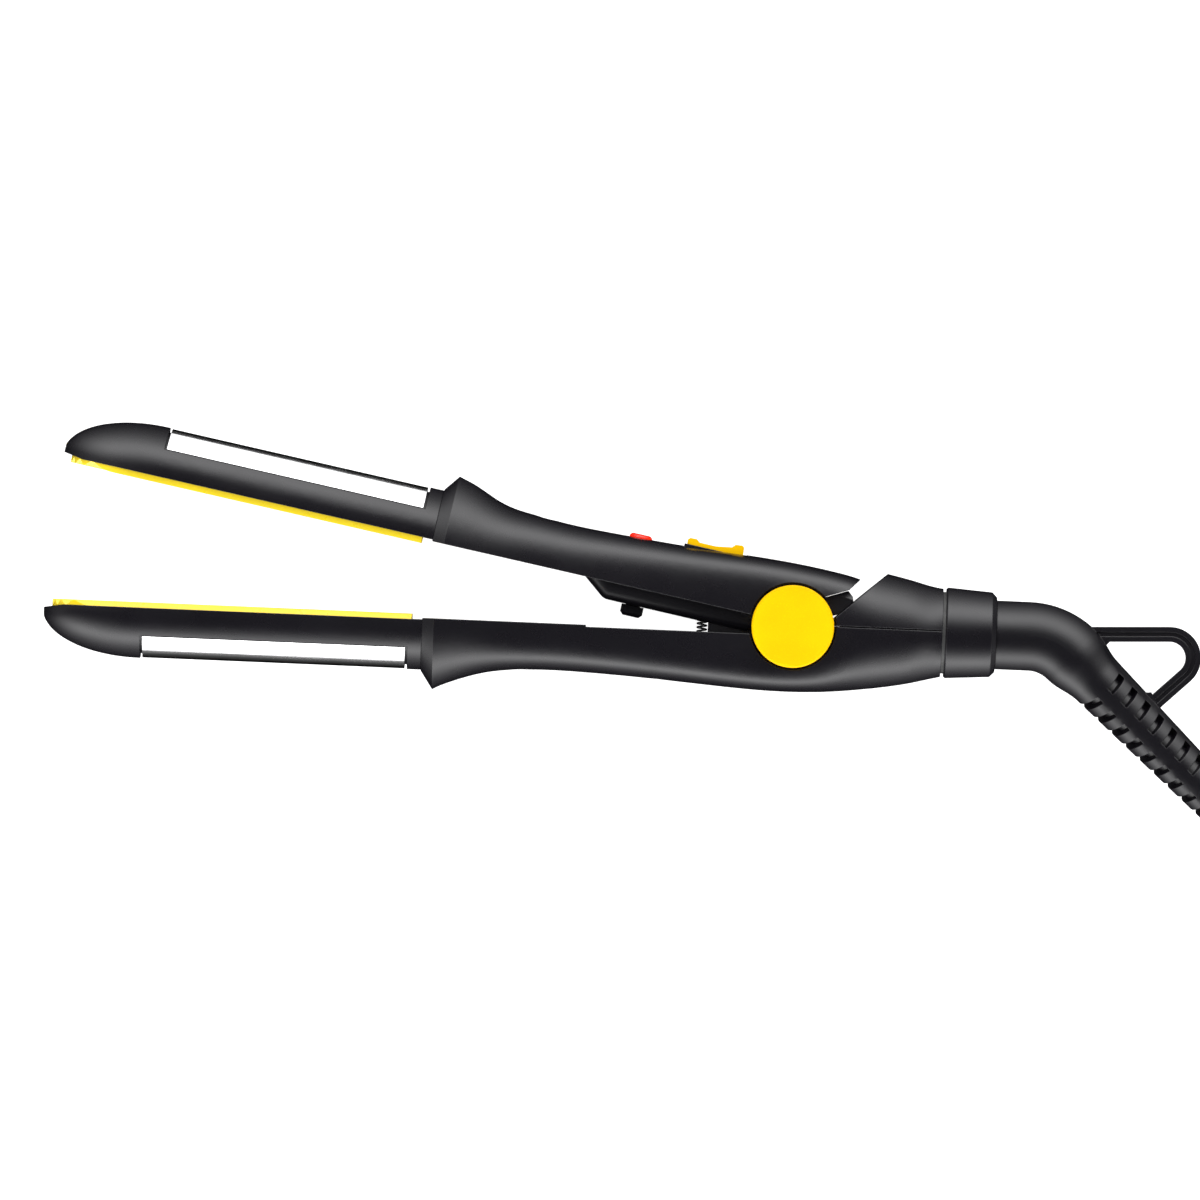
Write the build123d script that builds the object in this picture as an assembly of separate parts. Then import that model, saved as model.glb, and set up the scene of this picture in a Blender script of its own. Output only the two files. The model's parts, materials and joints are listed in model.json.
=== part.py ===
from build123d import *
import os
from math import cos, radians, sin

# Hair crimper lying on its side, in millimetres. Everything is modelled round the hinge
# axis, which is Z, with +X towards the cord and the two arms pointing to -X. The upper arm
# is on the +Y side and is modelled closed, then turned open. At the end everything is
# lifted by HALF_HEIGHT, so the lower hinge cap's flat face lies on the table at the origin.

# --- driving dimensions -------------------------------------------------------------
HALF_HEIGHT = 16.2          # mid-plane to the flat face of a hinge cap
OPEN_ANGLE = 10.5           # upper arm from parallel to its opening stop, degrees
WALL = 2.0                  # casing wall
FIT = 0.1                   # gap between fixed parts that slot together
RUN = 0.05                  # radial running clearance
SLACK = 0.3                 # between the casing's lofted inside and what is fitted in it

TIP_X = -187.0
NOSE_START_X = -163.0
NOSE_BEVEL = (5.0, 0.8)     # its rim is bevelled at the tip: length and depth
NOSE_LENGTH = 24.4          # semi-axis of the nose, an ellipsoid cut off blunt at TIP_X
BARREL_HALF_WIDTH = 14.0
BARREL_HEIGHT = 12.6        # barrel's flat rim to its crown
BARREL_SIDE = 1.0           # straight part of the barrel's side, next to the rim
LOWER_RIM_Y = -2.1          # barrel rim of the lower arm
UPPER_RIM_Y = 1.1           # barrel rim of the upper arm

PLATE_X = (-185.0, -95.0)
PLATE_HALF_WIDTH = 11.2
PLATE_CORNER = 11.0         # front corners of the plate in plan
PLATE_BACK = 2.2            # underside of the plate below the barrel's rim
RIDGE_TOP = -1.5            # ridges stand proud of the barrel's rim
RIDGE_FOOT = 0.2
RIDGE_PITCH = 2.8

BACK_X = (-161.9, -96.4)    # polished back plate
BACK_EDGE = 7.15            # its long edges, above the barrel's rim
BACK_THICKNESS = 1.0
BACK_SINK = 0.15

FLARE_X = -89.3
FLARE_FRONT_X = -92.3
FLARE_STEP = 0.3            # the flare starts this far outside the barrel
FLARE_SQUARE = 0.65         # squareness of its front outline, which clears the barrel's
TANG_HALF_WIDTH = 11.1      # barrel's spigot inside the handle
TANG_Y = (2.1, 10.4)        # its flat and its crown above the barrel's rim
CAVITY_HALF_WIDTH = 9.6

LOWER_FACE_Y = -1.75        # flat inner face of the lower handle
LOWER_STEP_Y = -2.25        # same face behind the nesting recess
RECESS_FLOOR_Y = -4.75
UPPER_FACE_Y = 0.65
FAIRING_Y = -3.85           # underside of the upper arm's fairing
FAIRING_HALF_WIDTH = 10.4
FAIRING_EDGE = 3.0          # rounding along its underside
SEAM_Y = 0.5                # between the lower handle shell and the rear cover
SEAM_GAP = 0.05
GROOVE_Y = (-0.2, 0.15)     # shadow groove along the seam, measured from it
GROOVE_DEPTH = 0.5
LIP_HEIGHT = 1.5            # cover's lip behind the shell's wall, above and below the seam
LIP_THICKNESS = 1.0

CAP_RADIUS = 10.3
CAP_RECESS_RADIUS = 10.9
HINGE_WELL_RADIUS = 9.8      # open round the ears, below the cap's recess
PIN_RADIUS = 2.5
LUG_RADIUS = 8.8
LUG_Z = (3.5, 8.0)
EAR_RADIUS = 9.3
EAR_Z = (8.2, 11.5)
BLOCK_X = -21.0             # front of the hinge lugs
BLOCK_TOP_Y = 0.9

BODY_END_X = 37.4
BULKHEAD_X = 31.2
SPINDLE_RADIUS = 5.0
CORD_BORE_RADIUS = 3.5
COLLAR_X = (38.2, 50.9)
STEM_RADIUS = 8.6
BEND_START = (59.3, 0.0)
BEND_RADIUS = 16.0
BEND_ANGLE = 43.0
GUARD_LENGTH = 75.0

WEDGE_FOOT = (11.3, 3.3)
WEDGE_PEAK = (23.4, 14.1)
TAIL_END = [(6.85, 9.33), (11.75, 12.0), (13.65, 14.7)]     # upper arm's end, from below
TAIL_WALL = 2.4
TAIL_WALL_LOW_Y = 10.9
STOP_OUTLINE = [(4.0, 8.2), (7.0, 9.2), (11.65, 11.72), (13.0, 10.55), (13.4, 9.4), (10.5, 5.45), (8.2, 4.4)]

COVER_THICKNESS = 1.8       # of both inner covers
LOWER_SCREWS = ((-68.0, -13.7), (-33.0, -14.6))     # x and crown height at each screw
UPPER_SCREW = (-66.0, 12.6)
LAMP_X = -41.8
SWITCH_X = -22.9
SWITCH_HALF_LENGTH = 7.9
SWITCH_HALF_WIDTH = 5.6
SWITCH_TOP_Y = 14.25
ROCKER_PIVOT_Y = 12.6
ROCKER_TILT = 4.5
PEG_X = (-42.8, -37.2)
PEG_HOLE_X = (-41.9, -38.1)

SPRING_X = -22.55
SPRING_RADIUS = 1.38
SPRING_WIRE = 0.25          # radius of the wire
SPRING_Y = (-9.95, 4.55)
SPRING_COILS = 18
SPRING_BORE = 1.7

GUARD_SLOTS = 13
SLOT_START = 10.8
SLOT_PITCH = 4.8
SLOT_WIDTH = 1.9
SLOT_DEPTH = 2.1
SLOT_TILT = 18.0            # the slots lean towards the guard's end on the upper face
SIDE_WEB = (-2.9, 0.3)      # ribs left along the faces, across the guard from its axis
TOP_WEB = (5.2, 15.0)       # and along its inner side
TAPER_START = 9.0           # where the long slow taper of the guard begins
GUARD_RADII = (7.05, 5.0)   # there and at the guard's end
LOOP_WIDTH = 3.75
LOOP_HALF_THICKNESS = 2.0

# Stations along the handles: x, crown height, half width and squareness of the outline.
# A squareness of ROUND gives an ellipse, and 1 nearly a rounded rectangle.
ROUND = 0.5523
LOWER_STATIONS = [
    (-89.3, -19.5, 16.2, 0.56), (-86.5, -18.1, 15.8, 0.58), (-83.0, -16.75, 15.2, 0.62),
    (-79.0, -15.45, 14.5, 0.67), (-74.5, -14.4, 13.9, 0.73), (-69.0, -13.75, 13.55, 0.78),
    (-60.0, -13.45, 13.4, 0.81), (-49.0, -13.75, 13.45, 0.83), (-38.0, -14.3, 13.65, 0.86),
    (-27.0, -15.05, 14.0, 0.89), (-15.0, -15.9, 14.45, 0.92), (-3.0, -16.4, 14.75, 0.94),
    (8.0, -16.1, 14.75, 0.85), (16.0, -15.3, 14.35, 0.67), (23.4, -14.25, 13.6, 0.59),
    (30.5, -12.85, 12.4, 0.56), (BODY_END_X, -11.1, 11.0, ROUND),
]
REAR_CROWN_DEFAULT = 17.5   # over the open front of the lower arm, where it is cut away
REAR_CROWN = {8.0: 17.2, 16.0: 15.7, 23.4: 14.1, 30.5: 12.5, BODY_END_X: 11.0}
UPPER_STATIONS = [
    (-89.3, 18.0, 16.2, 0.56), (-86.5, 17.25, 15.8, 0.57), (-83.0, 16.05, 15.2, 0.59),
    (-79.0, 14.45, 14.5, 0.62), (-74.5, 13.3, 13.9, 0.65), (-69.0, 12.85, 13.55, 0.69),
    (-60.0, 12.5, 13.4, 0.73), (-49.0, 12.75, 13.45, 0.79), (-38.0, 13.25, 13.65, 0.85),
    (-27.0, 13.9, 14.0, 0.9), (-15.0, 14.85, 14.45, 0.94), (-3.0, 15.55, 14.75, 0.96),
    (8.0, 15.65, 14.75, 0.96), (18.0, 14.25, 14.5, 0.94),
]

ON_BASE = (Align.CENTER, Align.CENTER, Align.MIN)


# --- shape helpers ------------------------------------------------------------------
def quarter(x, half_width, crown, square):
    """Quarter of an outline across the arm, from the side at y = 0 to the crown."""
    side_control = (x, square * crown, half_width)
    crown_control = (x, crown, square * half_width)
    return Edge.make_bezier((x, 0, half_width), side_control, crown_control, (x, crown, 0))


def hull_wire(x, half_width, low, high, square):
    """Closed outline across a handle, with a crown at low and another at high."""
    sides = [(1, high), (-1, high), (-1, low), (1, low)]
    return Wire([quarter(x, side * half_width, crown, square) for side, crown in sides])


def d_bar(x_range, half_width, rim, crown, side=BARREL_SIDE):
    """D-shaped bar along X: flat at the rim, an exact half-ellipse over the crown."""
    length = x_range[1] - x_range[0]
    base = rim + side
    across = Plane(origin=(x_range[1], 0, 0), x_dir=(0, 0, 1), z_dir=(-1, 0, 0))
    arch = Pos(0, base) * Ellipse(half_width, crown - base)
    arch -= Pos(0, base - 50) * Rectangle(100, 100)
    flank = Pos(0, rim + side / 2) * Rectangle(2 * half_width, side)
    return extrude(across * (arch + flank), length, dir=(-1, 0, 0))


def block(x_range, y_range, z_range):
    """Box between two corners."""
    size = [b - a for a, b in (x_range, y_range, z_range)]
    centre = [(a + b) / 2 for a, b in (x_range, y_range, z_range)]
    return Pos(*centre) * Box(*size)


def both_sides(z_inner, z_outer, shape_2d):
    """A flat outline extruded between two heights, and again on the other side."""
    layer = extrude(shape_2d, z_outer - z_inner, dir=(0, 0, 1))
    return Pos(0, 0, z_inner) * layer + Pos(0, 0, -z_outer) * layer


def slab(points, half_width):
    """A polygon in the XY plane, extruded to both sides of the mid-plane."""
    return extrude(Polygon(*points, align=None), half_width, both=True)


def disc(radius, z_range, centre=(0, 0)):
    height = z_range[1] - z_range[0]
    return Pos(centre[0], centre[1], (z_range[0] + z_range[1]) / 2) * Cylinder(radius, height)


def along_x(radius, x_range, y=0.0, z=0.0):
    length = x_range[1] - x_range[0]
    middle = (x_range[0] + x_range[1]) / 2
    return Pos(middle, y, z) * Rot(0, 90, 0) * Cylinder(radius, length)


def along_y(radius, y_range, x, z=0.0):
    length = y_range[1] - y_range[0]
    middle = (y_range[0] + y_range[1]) / 2
    return Pos(x, middle, z) * Rot(90, 0, 0) * Cylinder(radius, length)


def inset_hull(stations, inset):
    """Handle's loft through its stations, with every wall moved in by inset."""
    wires = []
    for x, crown, half_width, square in stations:
        lower_arm = crown < 0
        low = crown if lower_arm else -crown
        high = REAR_CROWN.get(x, REAR_CROWN_DEFAULT) if lower_arm else crown
        wires.append(hull_wire(x, half_width - inset, low + inset, high - inset, square))
    return Solid.make_loft(wires)


def flare_cone(stations, rim_y):
    """Conical front face that widens from the barrel's outline to the flare's rim."""
    x, crown, half_width, square = stations[0]
    front_crown = abs(rim_y) + BARREL_HEIGHT + FLARE_STEP
    front = hull_wire(FLARE_FRONT_X, BARREL_HALF_WIDTH + FLARE_STEP, -front_crown, front_crown, FLARE_SQUARE)
    low, high = (crown, REAR_CROWN_DEFAULT) if crown < 0 else (-crown, crown)
    back = hull_wire(x, half_width, low, high, square)
    return Solid.make_loft([front, back], True)


# --- barrels: built with the rim at y = 0 and the crown at +y, then placed ------------
def barrel_body():
    """D-shaped bar that ends in a quarter of an ellipsoid."""
    bar = d_bar((NOSE_START_X, FLARE_FRONT_X), BARREL_HALF_WIDTH, 0, BARREL_HEIGHT)
    nose_size = (NOSE_LENGTH, BARREL_HEIGHT - BARREL_SIDE, BARREL_HALF_WIDTH)
    nose = Pos(NOSE_START_X, BARREL_SIDE, 0) * scale(Sphere(1.0), by=nose_size)
    nose = nose & block((TIP_X, NOSE_START_X), (BARREL_SIDE, 20), (-20, 20))
    plan = extrude(Ellipse(NOSE_LENGTH, BARREL_HALF_WIDTH), BARREL_SIDE)
    foot = Pos(NOSE_START_X, BARREL_SIDE, 0) * Rot(90, 0, 0) * plan
    foot = foot & block((TIP_X, NOSE_START_X), (-1, 20), (-20, 20))
    length, depth = NOSE_BEVEL
    bevel = slab([(TIP_X - 1, -1), (TIP_X - 1, depth * (1 + 1 / length)), (TIP_X + length, 0),
                  (TIP_X + length, -1)], 20)
    return bar + nose + foot - bevel


def plate_outline(grow, x_range=PLATE_X):
    """Plan of a crimping plate: square at the heel, well rounded at the nose."""
    half = PLATE_HALF_WIDTH + grow
    low, high = x_range[0] - grow, x_range[1] + grow
    corner = PLATE_CORNER + grow
    outline = Pos((low + high) / 2, 0) * Rectangle(high - low, 2 * half)
    front = outline.vertices().sort_by(Axis.X)[:2]
    return fillet(front, corner)


def plate_prism(grow, y_range, x_range=PLATE_X):
    """The plate's plan, given height along Y."""
    flat = extrude(plate_outline(grow, x_range), y_range[1] - y_range[0])
    return Pos(0, y_range[1], 0) * Rot(90, 0, 0) * flat


def make_barrel():
    shell = barrel_body()
    heel = FLARE_X + 7.0
    tang = d_bar((-97.0, heel), TANG_HALF_WIDTH, *TANG_Y)
    cavity = d_bar((-176.0, heel + 1), CAVITY_HALF_WIDTH, PLATE_BACK - 0.5, 9.4)
    pocket = plate_prism(0.15, (-3.0, PLATE_BACK))
    recess = block((BACK_X[0] - 0.6, BACK_X[1] + 0.6), (BACK_EDGE - 0.15, 20), (-20, 20))
    inset = BACK_SINK + BACK_THICKNESS + 0.05
    core = d_bar((BACK_X[0] - 5, BACK_X[1] + 5), BARREL_HALF_WIDTH - inset, 0, BARREL_HEIGHT - inset)
    return shell + tang - cavity - pocket - (recess - core)


def make_back_plate():
    outer = d_bar(BACK_X, BARREL_HALF_WIDTH - BACK_SINK, 0, BARREL_HEIGHT - BACK_SINK)
    inset = BACK_SINK + BACK_THICKNESS
    inner = d_bar((BACK_X[0] - 1, BACK_X[1] + 1), BARREL_HALF_WIDTH - inset, 0, BARREL_HEIGHT - inset)
    keep = block((BACK_X[0] - 2, BACK_X[1] + 2), (BACK_EDGE, 20), (-20, 20))
    return (outer - inner) & keep


def make_crimp_plate(crest_phase):
    """Ridges run along the arm. The two plates' phases, 1 and 0, make them interlock."""
    half_pitches = round(4 * PLATE_HALF_WIDTH / RIDGE_PITCH)
    wave = []
    for i in range(half_pitches + 1):
        z = -PLATE_HALF_WIDTH + i * RIDGE_PITCH / 2
        wave.append((z, RIDGE_TOP if i % 2 == crest_phase else RIDGE_FOOT))
    outline = [(-PLATE_HALF_WIDTH, PLATE_BACK)] + wave + [(PLATE_HALF_WIDTH, PLATE_BACK)]
    face = Polygon(*outline, align=None)
    crests = [v for v in face.vertices() if v.Y < PLATE_BACK - 1 and abs(v.X) < PLATE_HALF_WIDTH - 0.1]
    face = fillet(crests, 0.3)
    across = Plane(origin=(PLATE_X[1], 0, 0), x_dir=(0, 0, 1), z_dir=(-1, 0, 0))
    bar = extrude(across * face, PLATE_X[1] - PLATE_X[0])
    return bar & plate_prism(0, (-5, 5))


def make_heater():
    """Ceramic heating element with its two electrode strips' outline."""
    return block((-170, -106), (PLATE_BACK, PLATE_BACK + 2.6), (-6, 6))


def make_heater_insulator():
    return block((-171, -105), (PLATE_BACK + 2.6, PLATE_BACK + 3.0), (-6.8, 6.8))


def make_heater_clip():
    """Sheet-steel channel that presses the heater on to the plate's back."""
    top = PLATE_BACK + 3.8
    channel = block((-168, -108), (PLATE_BACK, top), (-7.9, 7.9))
    inside = block((-172, -104), (PLATE_BACK - 1, PLATE_BACK + 3.0), (-7.1, 7.1))
    clip = channel - inside
    for x in (-155, -138, -121):
        clip -= along_y(2.0, (top - 2, top + 1), x)
    return clip


def barrel_screws():
    """Screws through the plate's hidden lugs at both ends of the clip."""
    group = []
    for x in (-173.6, -101.0):
        shank_end = PLATE_BACK + 3.4
        group.append(along_y(0.9, (PLATE_BACK, shank_end), x) + along_y(1.7, (shank_end, shank_end + 1.2), x))
    return group


# --- lower arm and rear body --------------------------------------------------------
def cap_recess():
    return both_sides(12.45, 20, Circle(CAP_RECESS_RADIUS))


def screw_boss_lower(x, crown, cover_y):
    """A shell boss with a counterbore, and the cover's boss that the screw bites into."""
    shell_boss = along_y(3.6, (crown + 1, crown + 3.6), x)
    hole = along_y(1.5, (crown - 3, crown + 4), x) + along_y(2.7, (crown - 3, crown + 1.6), x)
    cover_boss = along_y(3.0, (crown + 3.7, cover_y), x) - along_y(1.2, (crown + 3.6, cover_y - 1.5), x)
    return shell_boss, hole, cover_boss


def casing_screw(x, head_y, inward):
    """Pan-head screw along Y, with a cross slot in its head."""
    head = along_y(2.4, sorted((head_y, head_y - inward * 1.3)), x)
    shank = along_y(1.2, sorted((head_y, head_y + inward * 5.3)), x)
    slot_y = sorted((head_y - inward * 0.7, head_y - inward * 2))
    slots = block((x - 1.6, x + 1.6), slot_y, (-0.3, 0.3)) + block((x - 0.3, x + 0.3), slot_y, (-1.6, 1.6))
    return head + shank - slots



def seam_groove():
    strip = block((0, 60), (SEAM_Y + GROOVE_Y[0], SEAM_Y + GROOVE_Y[1]), (-20, 20))
    return strip - inset_hull(LOWER_STATIONS, GROOVE_DEPTH)


def seam_lip():
    """Lip inside the rear cover that reaches down behind the lower shell's wall."""
    start, end = CAP_RECESS_RADIUS + 1.1, BULKHEAD_X - 0.2
    above = block((start, end), (SEAM_Y, SEAM_Y + LIP_HEIGHT), (-20, 20))
    below = block((start, end), (SEAM_Y - LIP_HEIGHT, SEAM_Y), (-20, 20))
    root = inset_hull(LOWER_STATIONS, WALL - FIT) & above
    tongue = inset_hull(LOWER_STATIONS, WALL + FIT) & below
    return root + tongue - inset_hull(LOWER_STATIONS, WALL + FIT + LIP_THICKNESS)


def make_lower_handle_shell():
    outer = inset_hull(LOWER_STATIONS, 0.0)
    shell = outer + flare_cone(LOWER_STATIONS, LOWER_RIM_Y)
    keep = block((-95, -51.5), (-30, LOWER_FACE_Y), (-20, 20))
    keep += block((-51.5, 0), (-30, LOWER_STEP_Y), (-20, 20))
    keep += block((0, 60), (-30, SEAM_Y - SEAM_GAP), (-20, 20))
    shell = shell & keep - seam_groove()
    cavity = inset_hull(LOWER_STATIONS, WALL) & block((-86.5, BULKHEAD_X), (-30, 30), (-20, 20))
    shell -= cavity
    tang_hole = d_bar((-94.0, -80.0), TANG_HALF_WIDTH + FIT, TANG_Y[0] - FIT, TANG_Y[1] + FIT)
    shell -= place_lower(tang_hole)
    well_wall = extrude(Circle(CAP_RECESS_RADIUS + 0.7) - Circle(HINGE_WELL_RADIUS), 20, both=True)
    shell += well_wall & block((9.1, 12.2), (-7.2, SEAM_Y - SEAM_GAP), (-20, 20)) & outer
    shell -= cap_recess()
    shell -= along_x(SPINDLE_RADIUS + RUN, (BULKHEAD_X - 2, BODY_END_X + 2))
    for x, crown in LOWER_SCREWS:
        boss, hole, _ = screw_boss_lower(x, crown, 0)
        shell = shell + (boss & outer) - hole
    return shell


def make_rear_cover():
    """Wedge-fronted cover over the swivel, above the seam."""
    slope = (WEDGE_PEAK[1] - WEDGE_FOOT[1]) / (WEDGE_PEAK[0] - WEDGE_FOOT[0])
    foot_x = WEDGE_FOOT[0] - (WEDGE_FOOT[1] - SEAM_Y) / slope
    top_x = foot_x + 25 / slope
    front = [(foot_x, SEAM_Y), (top_x, SEAM_Y + 25), (60, SEAM_Y + 25), (60, SEAM_Y)]
    shift = WALL * 1.35
    inner = [(px + shift if px < 50 else px, py) for px, py in front]
    cover = inset_hull(LOWER_STATIONS, 0.0) & slab(front, 20)
    cavity = inset_hull(LOWER_STATIONS, WALL) & slab(inner, 20) & block((0, BULKHEAD_X), (-1, 30), (-20, 20))
    cover = cover - cavity - seam_groove() + seam_lip()
    cover -= extrude(Circle(HINGE_WELL_RADIUS), 20, both=True) + cap_recess()
    cover -= along_x(SPINDLE_RADIUS + RUN, (BULKHEAD_X - 2, BODY_END_X + 2))
    return cover


def spring_seat():
    """Tube below the recess floor that holds the opening spring."""
    seat = along_y(SPRING_BORE + 1.2, (-10.6, RECESS_FLOOR_Y - 0.5), SPRING_X)
    return seat, along_y(SPRING_BORE, (-10.0, RECESS_FLOOR_Y + 0.1), SPRING_X)


def make_lower_handle_cover():
    """Flat inner face, nesting recess, spring seat and the two hinge lugs."""
    thick = COVER_THICKNESS
    floor = slab([(-86.4, LOWER_FACE_Y), (-52.6, LOWER_FACE_Y), (-49.2, RECESS_FLOOR_Y),
                  (-12.0, RECESS_FLOOR_Y), (-12.0, RECESS_FLOOR_Y - thick), (-50.2, RECESS_FLOOR_Y - thick),
                  (-53.6, LOWER_FACE_Y - thick), (-86.4, LOWER_FACE_Y - thick)], 20)
    floor -= both_sides(LUG_Z[1], 20, Circle(EAR_RADIUS + 0.5))
    web = Polygon((BLOCK_X, BLOCK_TOP_Y), (BLOCK_X, -9.0), (-14, -16), (9, -16), (LUG_RADIUS, 0),
                  (0, BLOCK_TOP_Y), align=None)
    lugs = both_sides(LUG_Z[0], LUG_Z[1], web + Circle(LUG_RADIUS))
    front_wall = block((BLOCK_X, BLOCK_X + 2.0), (RECESS_FLOOR_Y - thick, BLOCK_TOP_Y), (-LUG_Z[1], LUG_Z[1]))
    seat, seat_bore = spring_seat()
    cover = floor + lugs + front_wall + seat
    for x, crown in LOWER_SCREWS:
        cover_y = LOWER_FACE_Y - 1 if x < -52 else RECESS_FLOOR_Y - 1
        cover += screw_boss_lower(x, crown, cover_y)[2]
    cover = cover & inset_hull(LOWER_STATIONS, WALL + SLACK)
    cover -= seat_bore
    cover -= block((-43.7, -36.2), (-8, 0), (-3.3, 3.3))
    cover -= disc(PIN_RADIUS, (-20, 20))
    return cover


# --- upper arm ----------------------------------------------------------------------
def tail_cut(offset):
    """Everything behind the upper arm's end, moved forward by offset."""
    (low_x, low_y), (mid_x, mid_y), (top_x, top_y) = TAIL_END
    start_x = low_x - low_y * (mid_x - low_x) / (mid_y - low_y)
    end_x = top_x + (30 - top_y) * (top_x - mid_x) / (top_y - mid_y)
    outline = [(start_x, 0), (mid_x, mid_y), (end_x, 30), (60, 30), (60, 0)]
    return slab([(x - offset, y) for x, y in outline], 20)


def make_upper_handle_shell():
    outer = inset_hull(UPPER_STATIONS, 0.0)
    shell = outer + flare_cone(UPPER_STATIONS, UPPER_RIM_Y)
    shell = shell & block((-95, 30), (UPPER_FACE_Y, 30), (-20, 20))
    shell -= tail_cut(0)
    cavity = inset_hull(UPPER_STATIONS, WALL) & block((-86.5, 40), (-30, 30), (-20, 20))
    shell -= cavity - (tail_cut(TAIL_WALL) & block((-20, 40), (TAIL_WALL_LOW_Y, 40), (-20, 20)))
    tang_hole = d_bar((-94.0, -80.0), TANG_HALF_WIDTH + FIT, TANG_Y[0] - FIT, TANG_Y[1] + FIT)
    shell -= place_upper_closed(tang_hole)
    shell -= cap_recess()
    shell -= block((SWITCH_X - SWITCH_HALF_LENGTH - FIT, SWITCH_X + SWITCH_HALF_LENGTH + FIT), (5, 30),
                   (-SWITCH_HALF_WIDTH - FIT, SWITCH_HALF_WIDTH + FIT))
    shell -= along_y(2.9, (5, 30), LAMP_X)
    x, crown = UPPER_SCREW
    shell += along_y(3.6, (crown - 3.6, crown - 1), x) & outer
    shell -= along_y(1.5, (crown - 4, crown + 3), x) + along_y(2.7, (crown - 1.6, crown + 3), x)
    return shell


def make_upper_handle_cover():
    """Flat inner face with the hollow fairing, the hinge ears and the opening stop."""
    thick = COVER_THICKNESS
    plate = block((-86.4, -9.0), (UPPER_FACE_Y + 0.05, UPPER_FACE_Y + thick), (-20, 20))
    outline = Polygon((-54.5, UPPER_FACE_Y + 1), (-47.5, FAIRING_Y + 0.1), (-11.0, FAIRING_Y),
                      (-7.0, UPPER_FACE_Y + 1), align=None)
    outline = fillet(outline.vertices().sort_by(Axis.Y)[:2].sort_by(Axis.X)[0], 3.0)
    fairing = extrude(outline, FAIRING_HALF_WIDTH, both=True)
    rims = [edge for face in fairing.faces().filter_by(Axis.Z) for edge in face.edges()
            if edge.center().Y < UPPER_FACE_Y + 0.9 and edge.center().X < -12]
    fairing = fillet(rims, FAIRING_EDGE)
    hollow = slab([(-50.5, UPPER_FACE_Y + 0.05), (-46.5, FAIRING_Y + thick), (-16.0, FAIRING_Y + thick),
                   (-16.0, UPPER_FACE_Y + 0.05)], FAIRING_HALF_WIDTH - thick)
    fairing -= hollow
    ear = Polygon((-14, UPPER_FACE_Y), (-14, 11.5), (-10, 16), (5.2, 16), (4.5, 9.0), (9.0, 2.3),
                  (0, -4), align=None)
    ears = both_sides(EAR_Z[0], EAR_Z[1], ear + Circle(EAR_RADIUS))
    stop = slab(STOP_OUTLINE, EAR_Z[1])
    stop -= extrude(Circle(LUG_RADIUS + 0.5), LUG_Z[1] + 0.15, both=True)
    cover = plate & inset_hull(UPPER_STATIONS, WALL + SLACK)
    cover += fairing
    cover -= block((BLOCK_X - 0.5, 30), (-30, 30), (-LUG_Z[1] - 0.15, LUG_Z[1] + 0.15))
    cover += (ears + stop) & inset_hull(UPPER_STATIONS, WALL + SLACK)
    x, crown = UPPER_SCREW
    cover += along_y(3.0, (UPPER_FACE_Y + 1, crown - 3.7), x) - along_y(1.2, (UPPER_FACE_Y + 2.5, crown), x)
    cover -= block((SPRING_X - 3.1, SPRING_X + 1.6), (-10, UPPER_FACE_Y + 0.05), (-2.0, 2.0))
    cover -= block(PEG_HOLE_X, (-10, 0), (-2.0, 2.0))
    cover -= disc(PIN_RADIUS + RUN, (-20, 20))
    return cover


def make_alignment_peg():
    """Guides the arms together; its barbed stem snaps into the fairing."""
    body = block(PEG_X, (-6.6, FAIRING_Y), (-2.8, 2.8))
    body = chamfer(body.faces().sort_by(Axis.Y)[0].edges(), 0.8)
    stem = block((PEG_HOLE_X[0] + 0.05, PEG_HOLE_X[1] - 0.05), (FAIRING_Y, FAIRING_Y + 2.6), (-1.95, 1.95))
    return body + stem


def make_switch_housing():
    """Open box let into the crown, with trunnion holes for the rocker."""
    x_range = (SWITCH_X - SWITCH_HALF_LENGTH, SWITCH_X + SWITCH_HALF_LENGTH)
    box = block(x_range, (6.0, SWITCH_TOP_Y), (-SWITCH_HALF_WIDTH, SWITCH_HALF_WIDTH))
    well = block((x_range[0] + 0.5, x_range[1] - 0.5), (8.0, 30), (-4.5, 4.5))
    holes = disc(1.0 + RUN, (-20, 20), (SWITCH_X, ROCKER_PIVOT_Y))
    return box - well - holes


def make_switch_rocker():
    """Saddle-topped rocker with finger ridges at both ends, tilted to its off position."""
    top = SWITCH_TOP_Y
    half = 7.1
    side = [(-half, top - 0.6), (-half, top + 1.7), (-half + 0.5, top + 2.15), (-half + 2.2, top + 2.1),
            (-half + 3.0, top + 1.35), (0, top + 1.0), (half - 3.0, top + 1.35), (half - 2.2, top + 2.1),
            (half - 0.5, top + 2.15), (half, top + 1.7), (half, top - 0.6), (3.0, top - 4.2),
            (-3.0, top - 4.2)]
    rocker = extrude(Polygon(*side, align=None), 4.2, both=True)
    rocker = fillet(rocker.edges().filter_by(Axis.Z).sort_by(Axis.Y)[-8:], 0.35)
    rocker = Pos(SWITCH_X, 0, 0) * rocker
    rocker += disc(1.0, (-5.4, 5.4), (SWITCH_X, ROCKER_PIVOT_Y))
    turn = Pos(SWITCH_X, ROCKER_PIVOT_Y, 0) * Rot(0, 0, ROCKER_TILT) * Pos(-SWITCH_X, -ROCKER_PIVOT_Y, 0)
    return turn * rocker


def make_indicator_lens():
    lens = along_y(2.85, (9.8, 14.0), LAMP_X)
    lens = fillet(lens.edges().sort_by(Axis.Y)[-1], 0.9)
    return lens + along_y(3.4, (9.4, 10.3), LAMP_X) - along_y(1.7, (9, 12.4), LAMP_X)


def make_indicator_lamp():
    return along_y(1.4, (6.2, 11.2), LAMP_X)


def make_circuit_board():
    board = block((-76, -37.5), (4.6, 6.2), (-8.5, 8.5))
    return board - along_y(3.3, (4, 7), UPPER_SCREW[0])


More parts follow.
